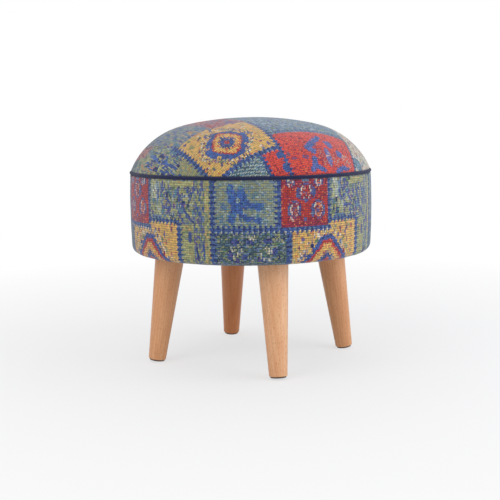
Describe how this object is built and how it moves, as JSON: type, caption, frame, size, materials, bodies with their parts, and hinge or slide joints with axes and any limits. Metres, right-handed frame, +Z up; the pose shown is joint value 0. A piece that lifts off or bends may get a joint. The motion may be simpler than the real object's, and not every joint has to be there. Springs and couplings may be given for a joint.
{
  "type": "upholstered round stool",
  "caption": "Round upholstered stool with a domed padded seat, a piped seam, a fabric-covered drum side and splayed turned wooden legs.",
  "frame": {"origin": "on the floor, below the middle of the stool", "axes": "+Z up along the stool's axis, -Y the front, +X to the right; the legs stand on the diagonals"},
  "size_m": [0.45, 0.45, 0.45],
  "materials": {
    "jacquard": "multicoloured woven kilim-patchwork jacquard, matt",
    "piping_cloth": "navy woven piping cloth, matt",
    "filler_cord": "twisted filler cord",
    "wadding": "soft polyester wadding",
    "foam": "open-cell upholstery foam",
    "hardboard": "thin smooth hardboard",
    "plywood": "plain birch plywood",
    "softwood": "sawn pine",
    "beech": "turned beech, clear satin lacquer",
    "dust_cloth": "black non-woven dust cloth",
    "felt": "dark brown felt",
    "zinc_steel": "zinc-plated steel",
    "staple_steel": "galvanised staple wire"
  },
  "bodies": {
    "root": {"top_cover": "jacquard", "side_band": "jacquard", "piping_wrap": "piping_cloth", "piping_cord": "filler_cord", "seat_wadding": "wadding", "seat_foam": "foam", "side_padding": "foam", "frame_skin": "hardboard", "base_board": "plywood", "top_board": "plywood", "dust_cover": "dust_cloth", "hem_staples": "staple_steel", "dust_staples": "staple_steel", "base_screws": "zinc_steel", "top_screws": "zinc_steel", "plate_screws": "zinc_steel", "post_1": "softwood", "post_2": "softwood", "post_3": "softwood", "post_4": "softwood", "post_5": "softwood", "post_6": "softwood", "leg_back_right": "beech", "felt_pad_back_right": "felt", "hanger_bolt_back_right": "zinc_steel", "leg_plate_back_right": "zinc_steel", "leg_back_left": "beech", "felt_pad_back_left": "felt", "hanger_bolt_back_left": "zinc_steel", "leg_plate_back_left": "zinc_steel", "leg_front_left": "beech", "felt_pad_front_left": "felt", "hanger_bolt_front_left": "zinc_steel", "leg_plate_front_left": "zinc_steel", "leg_front_right": "beech", "felt_pad_front_right": "felt", "hanger_bolt_front_right": "zinc_steel", "leg_plate_front_right": "zinc_steel"}
  },
  "joints": []
}
